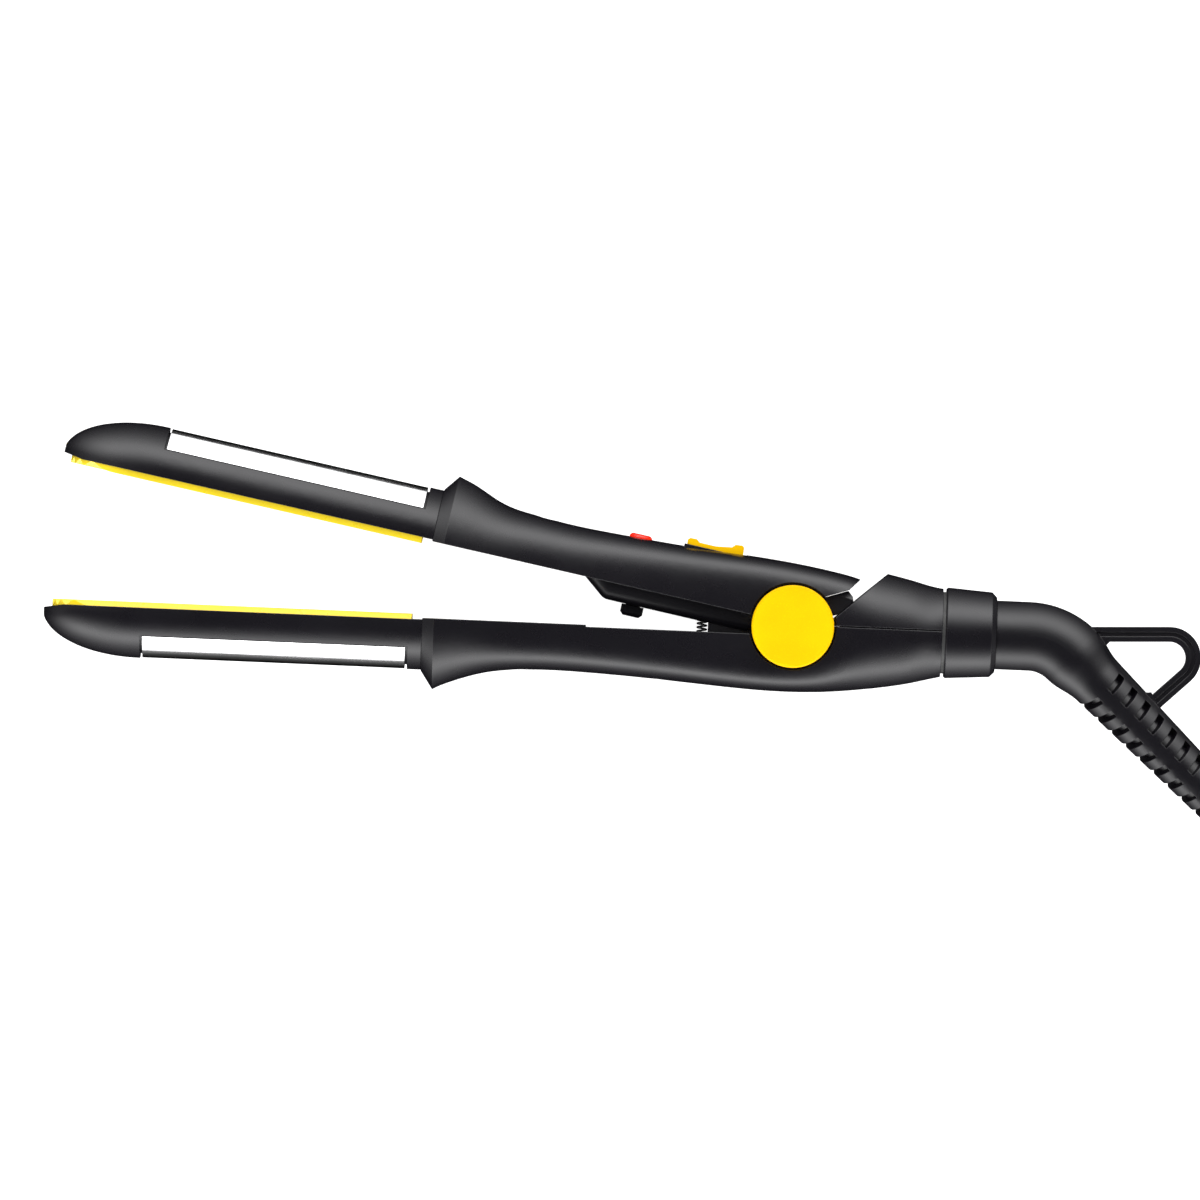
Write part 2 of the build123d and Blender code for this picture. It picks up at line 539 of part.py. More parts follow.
def make_board_components():
    group = [block((-75, -70.5), (6.2, 8.4), (2.5, 6.5)), block((-60, -54), (6.2, 8.6), (-6.5, -3.0)),
             along_y(2.4, (6.2, 8.8), -58, 3.5), along_x(0.9, (-54, -46), 7.1, 6.0)]
    for z in (-1.5, 1.5):
        group.append(along_x(0.8, (-51.5, -46.5), 7.0, z))
    return group


def make_thermostat():
    return block((-103.8, -98.6), (PLATE_BACK, PLATE_BACK + 3.4), (3.0, 8.6))


def make_thermal_fuse():
    return along_x(1.2, (-104.5, -97.0), PLATE_BACK + 1.25, -5.2)


# --- hinge --------------------------------------------------------------------------
def make_hinge_pin():
    return disc(PIN_RADIUS, (-14.4, 14.4))


def make_hinge_washers():
    ring = Circle(5.2) - Circle(PIN_RADIUS + RUN)
    return both_sides(EAR_Z[1] + RUN, EAR_Z[1] + 0.55, ring)


def make_hinge_cap(side):
    """Press-on yellow cap, flat outside with a soft rim."""
    cap = disc(CAP_RADIUS, (13.3, HALF_HEIGHT))
    cap = fillet(cap.edges().sort_by(Axis.Z)[-1], 0.75)
    cap += disc(4.6, (EAR_Z[1] + 0.6, 13.4))
    cap -= disc(PIN_RADIUS, (10.0, 14.4))
    return cap if side > 0 else mirror(cap, Plane.XY)


def make_opening_spring():
    """Compression spring between the arms, along Y at rest."""
    low = SPRING_Y[0] + SPRING_WIRE
    height = SPRING_Y[1] - SPRING_Y[0] - 2 * SPRING_WIRE
    path = Helix(height / SPRING_COILS, height, SPRING_RADIUS - SPRING_WIRE)
    start = path @ 0
    wire = Plane(origin=start, z_dir=path % 0) * Circle(SPRING_WIRE)
    coil = sweep(wire, path, is_frenet=True)
    return Pos(SPRING_X, low, 0) * Rot(-90, 0, 0) * coil


# --- cord swivel and guard ----------------------------------------------------------
def make_swivel_collar():
    long, radius, end_radius = COLLAR_X[1] - COLLAR_X[0], 11.35, 10.6
    profile = Polyline((0, 5.0 + FIT / 2), (0, radius - 0.4), (0.4, radius), (long - 1.2, end_radius),
                       (long, end_radius - 1.2), (long, 7.1), (6.0, 7.1), (6.0, 5.0 + FIT / 2), close=True)
    face = make_face(Plane.XY * profile)
    return Pos(COLLAR_X[0], 0, 0) * revolve(face, Axis.X)


def make_swivel_spindle():
    """Hollow spindle that turns in the bulkhead, held by its flange."""
    tube = along_x(SPINDLE_RADIUS, (26.0, 47.0)) + along_x(7.6, (29.2, 31.1))
    tube += along_x(4.0, (15.0, 26.0))
    return tube - along_x(3.0, (14, 48))


def make_swivel_washer():
    return along_x(10.2, (BODY_END_X + 0.02, COLLAR_X[0])) - along_x(SPINDLE_RADIUS + RUN, (30, 50))


def make_slip_rings():
    return [along_x(4.6, (x, x + 2.4)) - along_x(4.0, (x - 1, x + 4)) for x in (16.5, 21.5)]


def make_brush_holder():
    base = block((15.6, 24.8), (-9.6, -7.2), (-6.5, 6.5))
    for x in (16.7, 21.7):
        base -= block((x - 0.1, x + 2.1), (-9.8, -7.0), (-1.6, 1.6))
    return base


def make_brushes():
    return [block((x, x + 2.0), (-9.5, -4.65), (-1.5, 1.5)) for x in (16.7, 21.7)]


def guard_point(s):
    """Point on the straight part of the guard's axis, s beyond the bend."""
    a = radians(BEND_ANGLE)
    end_x = BEND_START[0] + BEND_RADIUS * sin(a)
    end_y = BEND_START[1] - BEND_RADIUS * (1 - cos(a))
    return end_x + s * cos(a), end_y - s * sin(a)


def guard_radius(s):
    """Radius of the guard's long cone, s beyond the bend."""
    share = (s - TAPER_START) / (GUARD_LENGTH - TAPER_START)
    return GUARD_RADII[0] + share * (GUARD_RADII[1] - GUARD_RADII[0])


def guard_place(s):
    """Frame on the guard's axis: local Z runs down the guard, local X lies in the XY plane."""
    a = radians(BEND_ANGLE)
    x, y = guard_point(s)
    return Plane(origin=(x, y, 0), x_dir=(sin(a), cos(a), 0), z_dir=(cos(a), -sin(a), 0)).location


def guard_cone():
    """The straight part of the guard, turned from one profile."""
    slope = (guard_radius(GUARD_LENGTH) - guard_radius(TAPER_START)) / (GUARD_LENGTH - TAPER_START)
    shoulder = Spline((STEM_RADIUS, 0), (GUARD_RADII[0], TAPER_START), tangents=[(0, 1), (slope, 1)])
    end = guard_radius(GUARD_LENGTH)
    side = Polyline((GUARD_RADII[0], TAPER_START), (end + 0.02, GUARD_LENGTH - 0.6),
                    (end - 0.6, GUARD_LENGTH),
                    (0, GUARD_LENGTH), (0, 0), (STEM_RADIUS, 0))
    face = make_face(Plane.XZ * Curve([shoulder, side]))
    return guard_place(0) * revolve(face, Axis.Z)


def elbow(radius):
    """Stem and bend swept with one radius."""
    start = (COLLAR_X[1] + 0.05, 0)
    arc = CenterArc((BEND_START[0], -BEND_RADIUS), BEND_RADIUS, 90, -BEND_ANGLE)
    bend = sweep(Plane(origin=(*BEND_START, 0), z_dir=(1, 0, 0)) * Circle(radius), arc)
    return along_x(radius, (start[0], BEND_START[0])) + bend


def slot_cutter(index):
    """One leaning ring slot in the guard's place, with ribs left standing between its arcs."""
    s = SLOT_START + index * SLOT_PITCH
    radius = guard_radius(s)
    core = max(radius - SLOT_DEPTH, CORD_BORE_RADIUS + 0.9)
    ring = Rot(SLOT_TILT, 0, 0) * Cylinder(2 * radius, SLOT_WIDTH) - Cylinder(core, 40)
    for low, high in (SIDE_WEB, TOP_WEB):
        ring -= block((low, high), (-30, 30), (-20, 20))
    return guard_place(s) * ring


def make_hanging_loop():
    """Flat moulded eye beside the guard, with a groove along each face."""
    line = FilletPolyline((70.0, 0.95), (110.0, 2.6), (89.2, -17.3), radius=5.9)
    bar = extrude(trace(line, LOOP_WIDTH), LOOP_HALF_THICKNESS, both=True)
    groove = both_sides(LOOP_HALF_THICKNESS - 0.5, LOOP_HALF_THICKNESS + 1, trace(line, 1.1))
    top_gusset = slab([(71, 2.0), (79.4, -0.6), (78.1, -2.1), (76, -6)], LOOP_HALF_THICKNESS)
    foot = slab([(84.0, -12.7), (88.3, -12.85), (90.4, -12.7), (92.5, -17.5), (90.0, -20.0)],
                LOOP_HALF_THICKNESS)
    return bar - groove + top_gusset + foot


def make_cord_guard():
    """Stem, elbow, slotted guard and hanging eye in one moulding, hollow for the cord."""
    solid = elbow(STEM_RADIUS) + guard_cone() + along_x(7.0, (44.3, COLLAR_X[1] + 1))
    core = elbow(STEM_RADIUS - 1.5) + guard_place(0) * Cone(6.5, 4.6, 60, align=ON_BASE)
    guard = solid + (make_hanging_loop() - core)
    cutters = [piece for i in range(GUARD_SLOTS) for piece in slot_cutter(i).solids()]
    bore = elbow(CORD_BORE_RADIUS) + along_x(CORD_BORE_RADIUS, (44.0, 52.0))
    bore += guard_place(-0.02) * Cylinder(CORD_BORE_RADIUS, GUARD_LENGTH + 2, align=ON_BASE)
    return guard - cutters - bore - along_x(SPINDLE_RADIUS, (44.0, 47.0))


# --- placing and writing ------------------------------------------------------------
def place_lower(shape):
    """From the barrel's own frame to the lower arm."""
    return Pos(0, LOWER_RIM_Y, 0) * mirror(shape, Plane.XZ)


def place_upper_closed(shape):
    return Pos(0, UPPER_RIM_Y, 0) * shape


def opened(shape):
    """Turn an upper-arm piece from closed to open."""
    return Rot(0, 0, -OPEN_ANGLE) * shape


def write(name, shape):
    pieces = shape if isinstance(shape, list) else [shape]
    solids = [s for piece in pieces for s in piece.solids()]
    lifted = [Pos(0, 0, HALF_HEIGHT) * s for s in solids]
    node = lifted[0] if len(lifted) == 1 else Compound(children=lifted)
    export_step(node, f"parts/{name}.step")
    print(name, len(solids), round(sum(s.volume for s in solids), 1))


def write_all():
    os.makedirs("parts", exist_ok=True)
    barrel_pieces = {"barrel": make_barrel(), "back_plate": make_back_plate(), "heater": make_heater(),
                     "heater_insulator": make_heater_insulator(), "heater_clip": make_heater_clip()}
    for name, shape in barrel_pieces.items():
        write("lower_" + name, place_lower(shape))
        write("upper_" + name, opened(place_upper_closed(shape)))
    write("lower_crimp_plate", place_lower(make_crimp_plate(1)))
    write("upper_crimp_plate", opened(place_upper_closed(make_crimp_plate(0))))
    screws = barrel_screws()
    write("lower_plate_screws", [place_lower(s) for s in screws])
    write("upper_plate_screws", [opened(place_upper_closed(s)) for s in screws])

    write("lower_handle_shell", make_lower_handle_shell())
    write("lower_handle_cover", make_lower_handle_cover())
    write("rear_cover", make_rear_cover())
    write("lower_casing_screws", [casing_screw(x, crown + 1.6, 1) for x, crown in LOWER_SCREWS])
    write("hinge_pin", make_hinge_pin())
    write("hinge_washers", make_hinge_washers())
    write("hinge_cap_front", make_hinge_cap(1))
    write("hinge_cap_rear", make_hinge_cap(-1))
    write("opening_spring", make_opening_spring())
    write("brush_holder", make_brush_holder())
    write("brushes", make_brushes())

    write("swivel_collar", make_swivel_collar())
    write("swivel_spindle", make_swivel_spindle())
    write("swivel_washer", make_swivel_washer())
    write("slip_rings", make_slip_rings())
    write("cord_guard", make_cord_guard())

    upper = {"upper_handle_shell": make_upper_handle_shell(), "upper_handle_cover": make_upper_handle_cover(),
             "upper_casing_screw": casing_screw(UPPER_SCREW[0], UPPER_SCREW[1] - 1.6, -1),
             "alignment_peg": make_alignment_peg(), "switch_housing": make_switch_housing(),
             "switch_rocker": make_switch_rocker(), "indicator_lens": make_indicator_lens(),
             "indicator_lamp": make_indicator_lamp(), "circuit_board": make_circuit_board()}
    for name, shape in upper.items():
        write(name, opened(shape))
    write("board_components", [opened(s) for s in make_board_components()])
    write("thermostat", opened(place_upper_closed(make_thermostat())))
    write("thermal_fuse", opened(place_upper_closed(make_thermal_fuse())))


write_all()
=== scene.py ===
"""Hair crimper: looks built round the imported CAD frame. Lengths are in metres."""
import json
import math

import bmesh
import bpy
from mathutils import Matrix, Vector


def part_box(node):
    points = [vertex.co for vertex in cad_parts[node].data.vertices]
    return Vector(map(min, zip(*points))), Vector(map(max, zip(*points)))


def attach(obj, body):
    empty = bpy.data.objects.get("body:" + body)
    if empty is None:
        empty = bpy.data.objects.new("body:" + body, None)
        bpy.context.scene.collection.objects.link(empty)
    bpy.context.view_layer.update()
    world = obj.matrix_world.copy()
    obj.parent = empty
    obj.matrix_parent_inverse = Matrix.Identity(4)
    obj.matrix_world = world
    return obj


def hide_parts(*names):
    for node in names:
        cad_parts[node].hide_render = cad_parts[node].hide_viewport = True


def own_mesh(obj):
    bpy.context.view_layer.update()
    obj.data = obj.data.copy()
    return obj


MM = 0.001

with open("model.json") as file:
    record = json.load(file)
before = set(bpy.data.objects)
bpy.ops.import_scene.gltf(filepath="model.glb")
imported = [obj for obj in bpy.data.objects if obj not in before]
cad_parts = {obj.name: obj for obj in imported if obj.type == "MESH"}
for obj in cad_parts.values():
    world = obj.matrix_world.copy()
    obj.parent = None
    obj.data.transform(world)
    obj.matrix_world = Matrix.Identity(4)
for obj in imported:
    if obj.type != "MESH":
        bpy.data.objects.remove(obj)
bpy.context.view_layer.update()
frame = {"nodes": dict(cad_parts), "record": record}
nodes = frame["nodes"]
record = frame["record"]

HINGE_Z = (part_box("hinge_pin")[0].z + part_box("hinge_pin")[1].z) / 2


# --- camera -------------------------------------------------------------------------
VIEW_CENTRE = (-48.26 * MM, 4.58 * MM)   # where the optical axis meets the arms' mid-plane
VIEW_ROLL = 2.4                          # degrees; the lower arm slopes down to the right
VIEW_WIDTH = 300 * MM
VIEW_DISTANCE = 4.0
SENSOR = 36.0


def make_camera():
    """Looks straight down on the tool, which lies on its side with the hinge axis upright."""
    data = bpy.data.cameras.new("camera")
    data.sensor_width = SENSOR
    data.lens = SENSOR * VIEW_DISTANCE / VIEW_WIDTH
    camera = bpy.data.objects.new("camera", data)
    camera.location = (*VIEW_CENTRE, HINGE_Z + VIEW_DISTANCE)
    camera.rotation_euler = (0, 0, math.radians(VIEW_ROLL))
    bpy.context.scene.collection.objects.link(camera)
    bpy.context.scene.camera = camera


# --- shader helpers -----------------------------------------------------------------
def add(tree, kind, settings=None, **inputs):
    """A node of that kind, with its properties and its inputs set or linked. i0 is input number 0."""
    node = tree.nodes.new("ShaderNode" + kind)
    for key, value in (settings or {}).items():
        setattr(node, key, value)
    for key, value in inputs.items():
        socket = node.inputs[int(key[1:])] if key[0] == "i" and key[1:].isdigit() else node.inputs[key]
        if isinstance(value, bpy.types.NodeSocket):
            tree.links.new(value, socket)
        else:
            socket.default_value = value
    return node


def coordinates(tree, stretch=(1, 1, 1)):
    """Position in the piece's own frame, in metres, so that a texture rides with its piece."""
    source = add(tree, "TexCoord").outputs["Object"]
    return add(tree, "Mapping", Vector=source, Scale=stretch).outputs["Vector"]


def noise(tree, scale, detail=3.0, stretch=(1, 1, 1)):
    """Noise with features about 1 / scale metres wide."""
    where = coordinates(tree, stretch)
    return add(tree, "TexNoise", Vector=where, Scale=scale, Detail=detail).outputs["Fac"]


def remap(tree, value, low, high, to_low, to_high):
    node = add(tree, "MapRange", Value=value)
    for name, number in zip(("From Min", "From Max", "To Min", "To Max"), (low, high, to_low, to_high)):
        node.inputs[name].default_value = number
    return node.outputs["Result"]


def maths(tree, operation, a, b=0.0):
    return add(tree, "Math", {"operation": operation}, i0=a, i1=b).outputs[0]


def mix_colour(tree, share, a, b):
    node = add(tree, "Mix", {"data_type": "RGBA"}, i0=share)
    for index, colour in ((6, a), (7, b)):
        if isinstance(colour, bpy.types.NodeSocket):
            tree.links.new(colour, node.inputs[index])
        else:
            node.inputs[index].default_value = (*colour, 1)
    return node.outputs[2]


def new_material(name):
    material = bpy.data.materials.new(name)
    material.use_nodes = True
    return material, material.node_tree, material.node_tree.nodes["Principled BSDF"]


EDGE_MATCH = (0.995, 0.8)   # agreement of the two normals on the flat, and right at an edge


def rounded_normal(tree, radius):
    """Normal with the piece's edges rounded, and how near an edge a point is."""
    soft = add(tree, "Bevel", {"samples": 6}, Radius=radius).outputs["Normal"]
    flat = add(tree, "NewGeometry").outputs["Normal"]
    match = add(tree, "VectorMath", {"operation": "DOT_PRODUCT"}, i0=soft, i1=flat).outputs["Value"]
    return soft, remap(tree, match, *EDGE_MATCH, 0.0, 1.0)


def grain(tree, scale, depth, normal=None, detail=2.0, stretch=(1, 1, 1)):
    """Bump of a moulded or ground surface, depth metres deep."""
    height = noise(tree, scale, detail, stretch)
    node = add(tree, "Bump", Strength=1.0, Distance=depth, Height=height)
    if normal is not None:
        tree.links.new(normal, node.inputs["Normal"])
    return node.outputs["Normal"]


def lighter(colour, factor):
    return tuple(min(1.0, channel * factor) for channel in colour)


# --- materials ----------------------------------------------------------------------
CLOUD_SCALE = 45            # uneven colour
CLOUD_GLOSS_SCALE = 110     # uneven gloss
SPECKLE_SCALE = 2600        # pale grains in the colour
EDGE_GLOSS = 0.08           # how much glossier an edge is
GRAIN_SCALE = 3200          # moulded grain
BRUSHED_SCALE = 1500        # working marks in metal
SMUDGE_SCALE = 60           # handling marks on metal
SCRATCH_SCALE = 1800
SCRATCH_DEPTH = 0.002 * MM
METAL_EDGE = 0.1 * MM       # rounding of a metal edge


def moulded_plastic(name, colour, roughness, edge=0.3 * MM, grain_depth=0.012 * MM, sheen=0.5, edge_highlight=1.9):
    """Spark-textured moulding: fine grain, cloudy gloss, and edges painted a little lighter as a painted
    highlight.
    """
    material, tree, bsdf = new_material(name)
    soft, near_edge = rounded_normal(tree, edge)
    clouds = noise(tree, CLOUD_SCALE, 4)
    speckle = noise(tree, SPECKLE_SCALE, 2)
    tint = mix_colour(tree, remap(tree, clouds, 0.3, 0.7, 0, 1), lighter(colour, 0.9), lighter(colour, 1.1))
    tint = mix_colour(tree, remap(tree, speckle, 0.55, 0.75, 0, 0.3), tint, lighter(colour, 1.3))
    # painted highlight: the colour is lighter near every edge, as if the edges caught the light
    tint = mix_colour(tree, maths(tree, "MULTIPLY", near_edge, 0.5), tint, lighter(colour, edge_highlight))
    gloss = remap(tree, noise(tree, CLOUD_GLOSS_SCALE, 3), 0.3, 0.7, roughness - 0.02, roughness + 0.03)
    gloss = maths(tree, "SUBTRACT", gloss, maths(tree, "MULTIPLY", near_edge, EDGE_GLOSS))
    tree.links.new(tint, bsdf.inputs["Base Color"])
    tree.links.new(gloss, bsdf.inputs["Roughness"])
    tree.links.new(grain(tree, GRAIN_SCALE, grain_depth, soft), bsdf.inputs["Normal"])
    bsdf.inputs["Specular IOR Level"].default_value = sheen
    return material


def metal(name, colour, roughness, stretch=(1, 1, 1)):
    """Bare metal with fine working marks along one direction and faint handling smudges."""
    material, tree, bsdf = new_material(name)
    soft, _ = rounded_normal(tree, METAL_EDGE)
    marks = noise(tree, BRUSHED_SCALE, 3, stretch)
    smudge = noise(tree, SMUDGE_SCALE, 4)
    tint = mix_colour(tree, remap(tree, smudge, 0.35, 0.7, 0, 1), colour, lighter(colour, 0.9))
    gloss = maths(tree, "ADD", remap(tree, marks, 0.3, 0.7, roughness * 0.7, roughness * 1.3),
                  remap(tree, smudge, 0.5, 0.75, 0, 0.05))
    tree.links.new(tint, bsdf.inputs["Base Color"])
    tree.links.new(gloss, bsdf.inputs["Roughness"])
    tree.links.new(grain(tree, SCRATCH_SCALE, SCRATCH_DEPTH, soft, 3, stretch), bsdf.inputs["Normal"])
    bsdf.inputs["Metallic"].default_value = 1.0
    return material


def glazed(name, colour, roughness):
    """Hard glossy coating over cast metal: slight orange peel, a clear top, and edges tinted pale yellow as
    a painted highlight.
    """
    material, tree, bsdf = new_material(name)
    soft, near_edge = rounded_normal(tree, 0.15 * MM)
    tint = mix_colour(tree, remap(tree, noise(tree, 70, 4), 0.35, 0.65, 0, 1), colour, lighter(colour, 0.94))
    # painted highlight: the colour turns pale yellow near the edges
    tint = mix_colour(tree, maths(tree, "MULTIPLY", near_edge, 0.35), tint, (1.0, 0.86, 0.2))
    gloss = remap(tree, noise(tree, 300, 3), 0.3, 0.7, roughness - 0.04, roughness + 0.05)
    tree.links.new(tint, bsdf.inputs["Base Color"])
    tree.links.new(gloss, bsdf.inputs["Roughness"])
    tree.links.new(grain(tree, 900, 0.004 * MM, soft), bsdf.inputs["Normal"])
    bsdf.inputs["Coat Weight"].default_value = 0.6
    bsdf.inputs["Coat Roughness"].default_value = 0.08
    return material


def plain_solid(name, colour, roughness, grain_scale=900, grain_depth=0.03 * MM):
    """Small inner pieces: mottled colour and a grain of their own."""
    material, tree, bsdf = new_material(name)
    mottle = remap(tree, noise(tree, 400, 4), 0.35, 0.65, 0, 1)
    tint = mix_colour(tree, mottle, lighter(colour, 0.88), lighter(colour, 1.1))
    gloss = remap(tree, noise(tree, 700, 3), 0.3, 0.7, roughness - 0.06, roughness + 0.06)
    tree.links.new(tint, bsdf.inputs["Base Color"])
    tree.links.new(gloss, bsdf.inputs["Roughness"])
    tree.links.new(grain(tree, grain_scale, grain_depth), bsdf.inputs["Normal"])
    return material


def red_lens():
    """Translucent red moulding over the lamp, with moulded-in flow marks and a painted red glow of its own.
    """
    material, tree, bsdf = new_material("red_lens")
    flow = remap(tree, noise(tree, 500, 3), 0.35, 0.65, 0, 1)
    tint = mix_colour(tree, flow, (0.78, 0.012, 0.0), (0.95, 0.03, 0.0))
    tree.links.new(tint, bsdf.inputs["Base Color"])
    gloss = remap(tree, noise(tree, 900, 2), 0.3, 0.7, 0.1, 0.2)
    tree.links.new(gloss, bsdf.inputs["Roughness"])
    tree.links.new(grain(tree, 1200, 0.006 * MM, rounded_normal(tree, 0.2 * MM)[0]), bsdf.inputs["Normal"])
    bsdf.inputs["Transmission Weight"].default_value = 0.25
    bsdf.inputs["IOR"].default_value = 1.49
    # painted glow: the lens itself gives off faint red light, though the lamp behind it does not
    bsdf.inputs["Emission Color"].default_value = (1.0, 0.02, 0.0, 1)
    bsdf.inputs["Emission Strength"].default_value = 0.25
    return material


CHARCOAL = (0.0052, 0.0047, 0.0066)
YELLOW = (0.92, 0.52, 0.0)
ALONG_X = (0.04, 1, 1)      # marks stretched along the arm

MATERIALS = {
    "barrel_plastic": moulded_plastic("barrel_plastic", CHARCOAL, 0.27),
    "handle_plastic": moulded_plastic("handle_plastic", CHARCOAL, 0.27),
    "inner_plastic": moulded_plastic("inner_plastic", lighter(CHARCOAL, 0.8), 0.36),
    "polished_metal": metal("polished_metal", (0.95, 0.95, 0.96), 0.12, ALONG_X),
    "yellow_ceramic": glazed("yellow_ceramic", (1.0, 0.74, 0.0), 0.3),
    # yellow_plastic's edges are painted lighter too, a weaker painted highlight
    "yellow_plastic": moulded_plastic("yellow_plastic", YELLOW, 0.34, edge=0.35 * MM, grain_depth=0.006 * MM,
                                      sheen=0.06, edge_highlight=1.2),
    "heater_ceramic": plain_solid("heater_ceramic", (0.72, 0.70, 0.64), 0.75),
    "insulator_film": plain_solid("insulator_film", (0.5, 0.24, 0.05), 0.3, 300, 0.01 * MM),
    "spring_steel": metal("spring_steel", (0.66, 0.66, 0.67), 0.25, (1, 0.2, 1)),
    "screw_steel": metal("screw_steel", (0.32, 0.32, 0.33), 0.35),
    "pin_steel": metal("pin_steel", (0.6, 0.6, 0.62), 0.22, (1, 1, 0.05)),
    "washer_nylon": plain_solid("washer_nylon", (0.045, 0.045, 0.045), 0.5),
    "contact_brass": metal("contact_brass", (0.78, 0.55, 0.22), 0.28),
    "guard_rubber": moulded_plastic("guard_rubber", lighter(CHARCOAL, 0.9), 0.32, edge=0.25 * MM,
                                    grain_depth=0.02 * MM),
    "red_lens": red_lens(),
    "lamp_glass": plain_solid("lamp_glass", (0.8, 0.25, 0.16), 0.12, 200, 0.005 * MM),
    "board_laminate": plain_solid("board_laminate", (0.03, 0.16, 0.06), 0.4, 1400, 0.02 * MM),
    "component_epoxy": plain_solid("component_epoxy", (0.06, 0.07, 0.22), 0.35),
    "thermostat_case": plain_solid("thermostat_case", (0.74, 0.71, 0.62), 0.6),
    "fuse_metal": metal("fuse_metal", (0.72, 0.72, 0.73), 0.3),
}


def paint_cad_nodes():
    """Every carried-over CAD node takes the material of its slot in the record."""
    for part in record["subparts"]:
        piece = nodes[part["node"]]
        if not piece.material_slots:
            piece.data.materials.append(None)
        for slot in piece.material_slots:
            slot.link = "OBJECT"
            slot.material = MATERIALS[part["material_slot"]]


# --- opening spring -----------------------------------------------------------------
SPRING_COILS = 18
SPRING_WIRE_RADIUS = 0.25 * MM
SPRING_STEPS = 40           # points on each turn
WIRE_SIDES = 12
END_SQUARING = 0.05         # how far the end turns are pressed flat


def make_spring():
    """Closed-ended compression spring in the place of its CAD node, along Y."""
    low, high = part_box("opening_spring")
    centre_x, centre_z = (low.x + high.x) / 2, (low.z + high.z) / 2
    coil_radius = (high.x - low.x) / 2 - SPRING_WIRE_RADIUS
    bottom = low.y + SPRING_WIRE_RADIUS
    rise = high.y - low.y - 2 * SPRING_WIRE_RADIUS
    mesh = bmesh.new()
    rings = []
    steps = SPRING_COILS * SPRING_STEPS
    for i in range(steps + 1):
        share = i / steps
        angle = 2 * math.pi * SPRING_COILS * share
        # the first and last turns lie almost flat, as a ground spring's do
        height = rise * (share - END_SQUARING * math.sin(2 * math.pi * share))
        out = Vector((math.cos(angle), 0, math.sin(angle)))
        middle = Vector((centre_x, bottom + height, centre_z)) + coil_radius * out
        ring = []
        for k in range(WIRE_SIDES):
            turn = 2 * math.pi * k / WIRE_SIDES
            offset = SPRING_WIRE_RADIUS * (math.cos(turn) * out + math.sin(turn) * Vector((0, 1, 0)))
            ring.append(mesh.verts.new(middle + offset))
        rings.append(ring)
    for a, b in zip(rings, rings[1:]):
        for k in range(WIRE_SIDES):
            n = (k + 1) % WIRE_SIDES
            mesh.faces.new((a[k], b[k], b[n], a[n]))
    mesh.faces.new(rings[0])
    mesh.faces.new(reversed(rings[-1]))
    bmesh.ops.recalc_face_normals(mesh, faces=mesh.faces)
    data = bpy.data.meshes.new("opening_spring_coil")
    mesh.to_mesh(data)
    mesh.free()
    for face in data.polygons:
        face.use_smooth = True
    data.materials.append(MATERIALS["spring_steel"])
    spring = bpy.data.objects.new("opening_spring_coil", data)
    bpy.context.scene.collection.objects.link(spring)
    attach(spring, "lower_arm")
    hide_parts("opening_spring")
    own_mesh(spring)


# --- floor, world and lights --------------------------------------------------------
FLOOR_SIZE = 6.0
FLOOR_GREY = 0.6
FLOOR_GLOW = 0.9
DIFFUSE_LIGHT = 0.6         # the world's strength for everything but gloss
SIDE_BLEND = 0.1            # the two sides' light blends this far either side of straight up
END_FALLOFF = (-0.6, 0.2)   # light fades from the sides (second number) towards the tool's two ends
END_LIGHT = 0.1             # what is left of it there

# Softboxes for everything but gloss: place, size and power.
SOFTBOXES = {
    "overhead": ((-0.05, 0.1, 1.6), (1.4, 1.4), 16),
    "side_up": ((-0.05, 1.1, 0.5), (1.6, 0.5), 8),
    "side_down": ((-0.05, -1.1, 0.35), (1.6, 0.5), 15),
}

# Reflectors a metre away on both sides light only the polished plates, and reach below the floor.
REFLECTOR_X = -0.05
REFLECTOR_WIDTH = 3.0
REFLECTOR_LOW = {-1: -0.62, 1: -1.0}     # height of the lower edge on each side
REFLECTOR_STRENGTH = 1.25


def make_floor():
    """Plain white sheet, bright enough to read as the studio's white sweep."""
    bpy.ops.mesh.primitive_plane_add(size=FLOOR_SIZE, location=(0, 0, 0))
    floor = bpy.context.object
    floor.name = "floor"
    material, tree, bsdf = new_material("floor")
    bsdf.inputs["Base Color"].default_value = (FLOOR_GREY, FLOOR_GREY, FLOOR_GREY, 1)
    bsdf.inputs["Roughness"].default_value = 1.0
    bsdf.inputs["Specular IOR Level"].default_value = 0.0
    bsdf.inputs["Emission Color"].default_value = (1, 1, 1, 1)
    bsdf.inputs["Emission Strength"].default_value = FLOOR_GLOW
    floor.data.materials.append(material)
    floor.visible_glossy = False
    floor.visible_shadow = False


# Light that gloss mirrors: degrees from straight up, and strength, for each side.
SIDE_UP_LIGHT = ((0, 0.02), (18, 0.05), (30, 1.0), (42, 3.0), (56, 4.3), (70, 3.6), (86, 1.9), (100, 0.9),
                 (112, 0.4), (126, 0.15), (140, 0.05), (155, 0.0))
SIDE_DOWN_LIGHT = ((0, 0.02), (36, 0.05), (50, 0.5), (62, 1.8), (74, 3.6), (82, 4.3), (90, 3.4), (102, 1.6),
                   (114, 0.6), (126, 0.2), (140, 0.05), (155, 0.0))
RAMP_TOP = 4.3              # the strongest of them


def light_ramp(tree, tilt, levels):
    """Strength looked up by the angle from straight up, given as a share of half a turn."""
    node = add(tree, "ValToRGB", Fac=tilt)
    elements = node.color_ramp.elements
    while len(elements) < len(levels):
        elements.new(0.5)
    for element, (angle, level) in zip(elements, levels):
        element.position = angle / 180
        element.color = (level / RAMP_TOP, level / RAMP_TOP, level / RAMP_TOP, 1)
    return maths(tree, "MULTIPLY", node.outputs["Color"], RAMP_TOP)


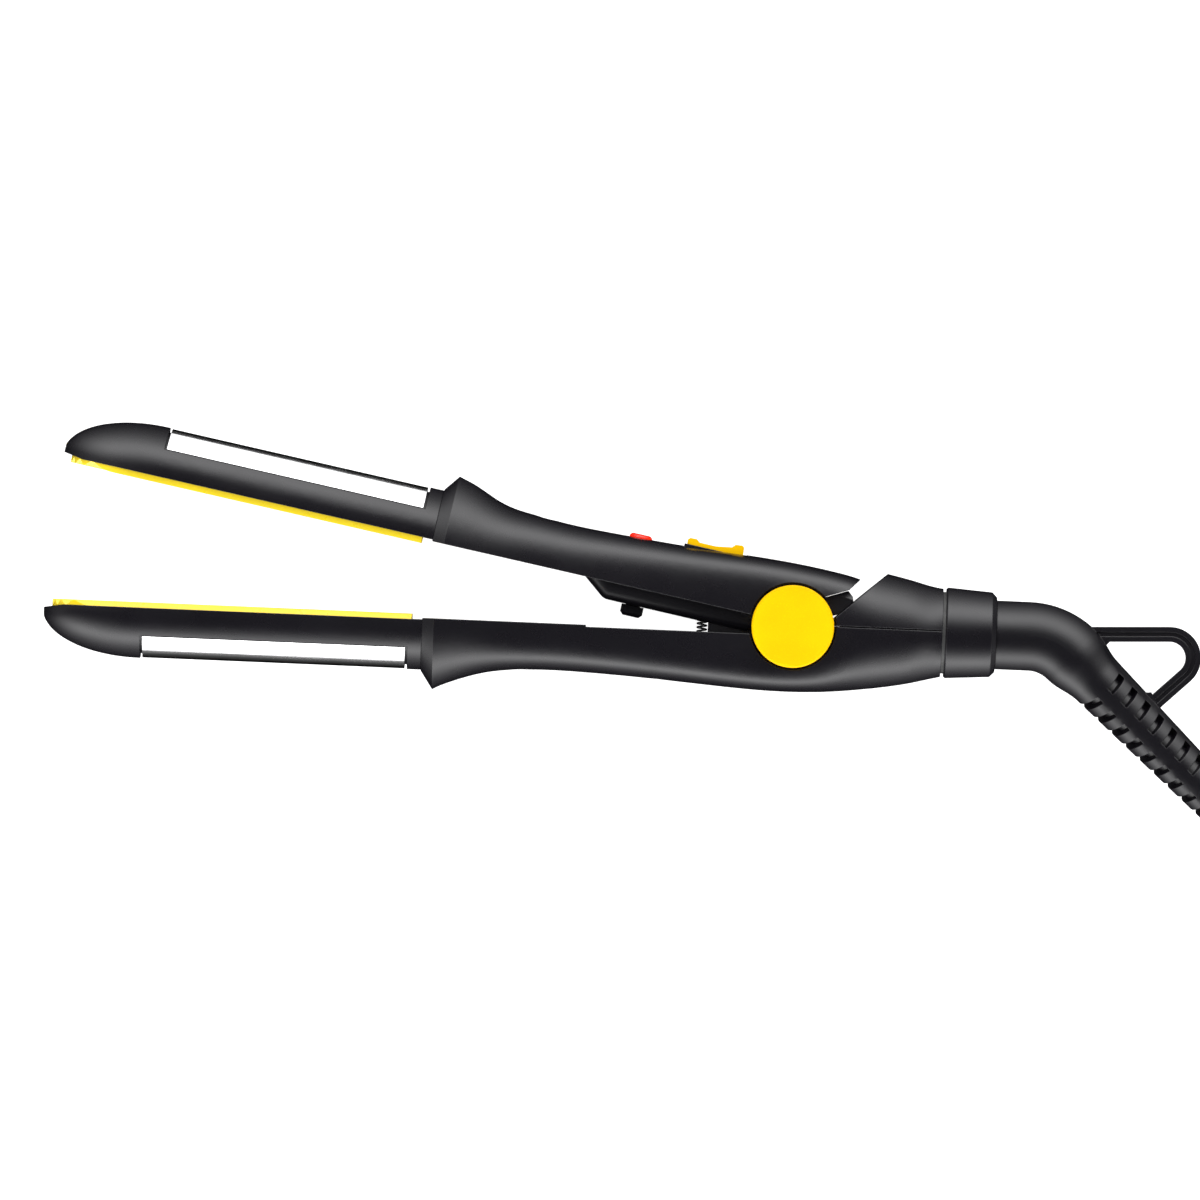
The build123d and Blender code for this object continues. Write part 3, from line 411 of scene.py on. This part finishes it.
def make_world():
    """White to the eye; what gloss mirrors is a row of softboxes along both sides."""
    world = bpy.data.worlds.new("studio")
    bpy.context.scene.world = world
    world.use_nodes = True
    tree = world.node_tree
    background = tree.nodes["Background"]
    direction = add(tree, "TexCoord").outputs["Generated"]
    split = add(tree, "SeparateXYZ", Vector=direction)
    tilt = maths(tree, "DIVIDE", maths(tree, "ARCCOSINE", split.outputs["Z"]), math.pi)
    up_side = light_ramp(tree, tilt, SIDE_UP_LIGHT)
    down_side = light_ramp(tree, tilt, SIDE_DOWN_LIGHT)
    which = remap(tree, split.outputs["Y"], -SIDE_BLEND, SIDE_BLEND, 0.0, 1.0)
    ring = add(tree, "Mix", i0=which, i2=down_side, i3=up_side).outputs[0]
    across = maths(tree, "ABSOLUTE", split.outputs["Y"])
    along = maths(tree, "ABSOLUTE", split.outputs["X"])
    balance = maths(tree, "SUBTRACT", across, along)
    gloss_light = maths(tree, "MULTIPLY", ring, remap(tree, balance, *END_FALLOFF, END_LIGHT, 1.0))
    path = add(tree, "LightPath")
    level = add(tree, "Mix", i0=path.outputs["Is Glossy Ray"], i2=DIFFUSE_LIGHT, i3=gloss_light).outputs[0]
    level = add(tree, "Mix", i0=path.outputs["Is Camera Ray"], i2=level, i3=1.0).outputs[0]
    tree.links.new(level, background.inputs["Strength"])
    background.inputs["Color"].default_value = (1, 1, 1, 1)


def soft_light(name, place, target, size, power, glossy):
    """Rectangular softbox that faces its target."""
    data = bpy.data.lights.new(name, "AREA")
    data.shape = "RECTANGLE"
    data.size, data.size_y = size
    data.energy = power
    light = bpy.data.objects.new(name, data)
    light.location = place
    light.rotation_euler = (Vector(target) - Vector(place)).to_track_quat("-Z", "Y").to_euler()
    light.visible_glossy = glossy
    light.visible_camera = False
    bpy.context.scene.collection.objects.link(light)
    return light


def make_lights():
    middle = (*VIEW_CENTRE, HINGE_Z)
    for name, (place, size, power) in SOFTBOXES.items():
        soft_light(name, place, middle, size, power, False)
    polished = bpy.data.collections.new("polished_plates")
    for name in ("lower_back_plate", "upper_back_plate"):
        polished.objects.link(nodes[name])
    for side, low in REFLECTOR_LOW.items():
        power = math.pi * REFLECTOR_WIDTH * abs(low) * REFLECTOR_STRENGTH
        card = soft_light(f"reflector_{side + 1}", (REFLECTOR_X, side, low / 2), (REFLECTOR_X, 0, low / 2),
                          (REFLECTOR_WIDTH, abs(low)), power, True)
        card.light_linking.receiver_collection = polished


make_camera()
paint_cad_nodes()
make_spring()
make_floor()
make_world()
make_lights()
bpy.context.scene.view_settings.view_transform = "Standard"
